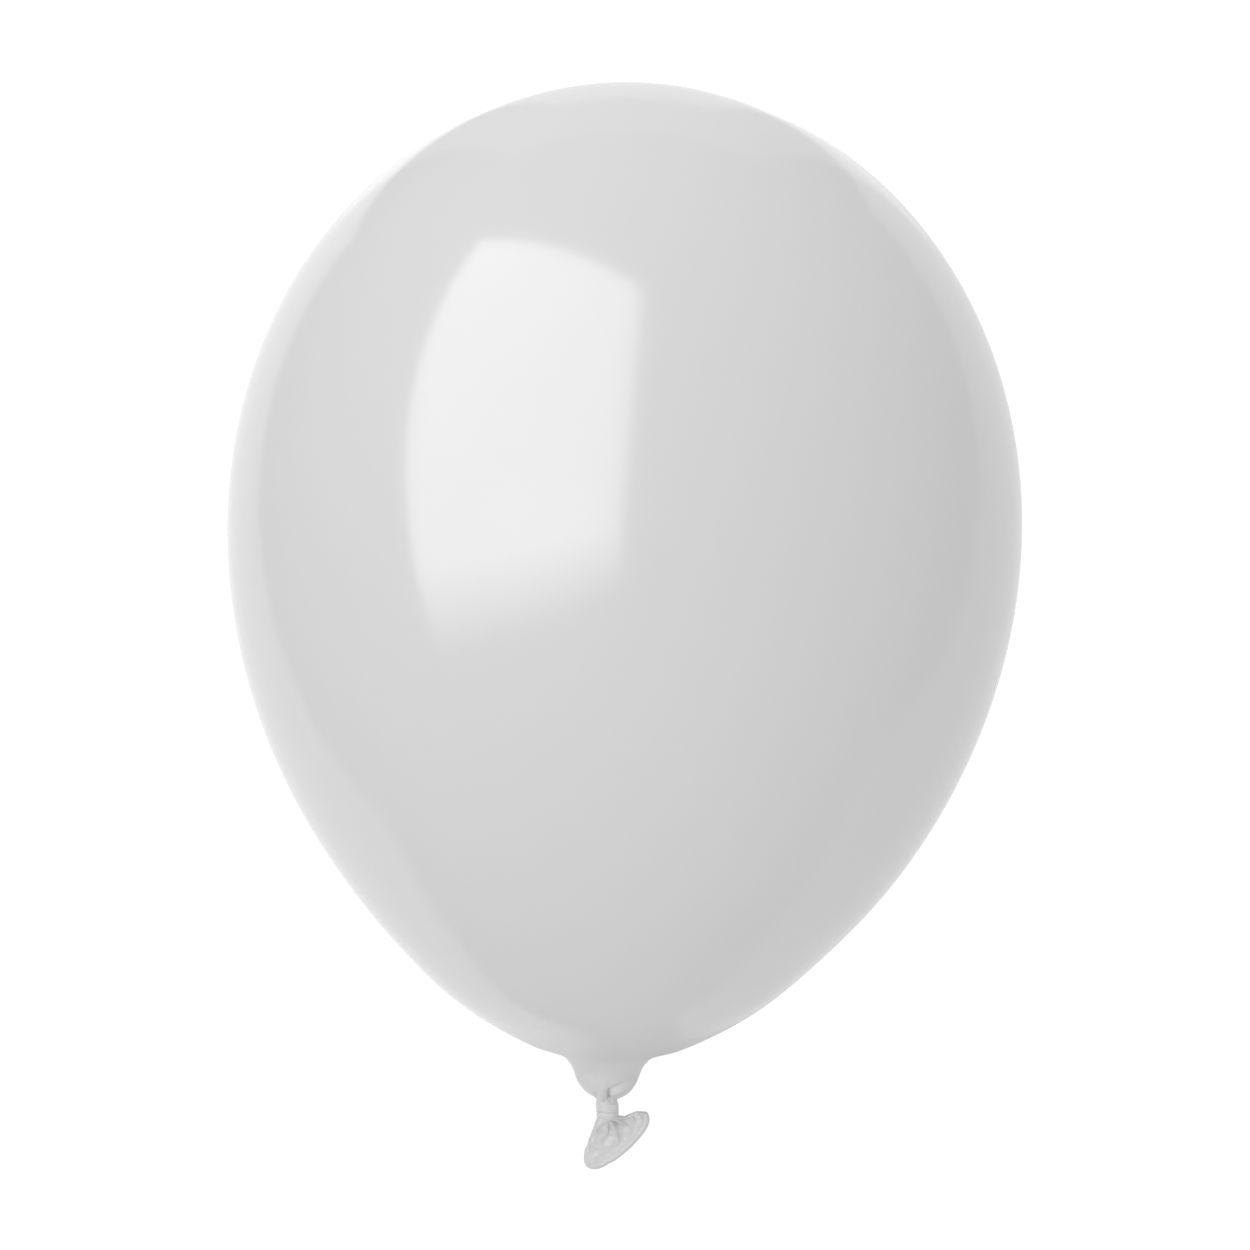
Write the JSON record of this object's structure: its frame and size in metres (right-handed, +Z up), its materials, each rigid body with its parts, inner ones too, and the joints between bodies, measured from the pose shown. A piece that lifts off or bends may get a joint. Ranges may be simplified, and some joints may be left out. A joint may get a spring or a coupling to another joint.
{
  "type": "latex balloon",
  "caption": "Round white latex party balloon, blown up and tied in its own neck, with a bending and twisting neck and a flattened tail that swings and flaps below the knot.",
  "frame": {"origin": "middle of the waist, the gathered neck between the throat and the knot, where a ribbon is tied", "axes": "+Z up the balloon's axis from the waist to the crown; the flattened tail leans from the knot towards +X, with its two walls facing -Y and +Y"},
  "size_m": [0.2999, 0.3, 0.4091],
  "materials": {
    "envelope_film": "gloss",
    "neck_film": "gloss",
    "knot_film": "satin",
    "tail_film": "satin",
    "lip_bead": "satin"
  },
  "bodies": {
    "knot": {"knot_body": "knot_film", "knot_band": "knot_film"},
    "neck": {"neck_strand": "neck_film"},
    "throat": {"throat": "neck_film"},
    "envelope": {"envelope": "envelope_film"},
    "tail_root": {"tail_root": "knot_film"},
    "tail": {"tail_gather": "tail_film", "tail_skirt": "tail_film", "rolled_lip": "lip_bead"}
  },
  "joints": [
    {"name": "neck_twist", "type": "hinge", "parent": "knot", "child": "neck", "pos_m": [0, 0, 0], "axis": [0, 0, 1], "range_deg": [-180, 180], "stiffness_Nm_per_rad": 0.02},
    {"name": "neck_lean", "type": "hinge", "parent": "neck", "child": "throat", "pos_m": [0, 0, 0], "axis": [0, 1, 0], "range_deg": [-25, 25], "stiffness_Nm_per_rad": 0.06},
    {"name": "envelope_nod", "type": "hinge", "parent": "throat", "child": "envelope", "pos_m": [0, 0, 0.01328], "axis": [1, 0, 0], "range_deg": [-25, 25], "stiffness_Nm_per_rad": 0.06},
    {"name": "tail_swing", "type": "hinge", "parent": "knot", "child": "tail_root", "pos_m": [0, 0, -0.0083], "axis": [0, -1, 0], "range_deg": [-65, 15], "stiffness_Nm_per_rad": 0.002},
    {"name": "tail_flap", "type": "hinge", "parent": "tail_root", "child": "tail", "pos_m": [0, 0, -0.0083], "axis": [0.7771, 0, 0.6293], "range_deg": [-40, 40], "stiffness_Nm_per_rad": 0.002}
  ]
}
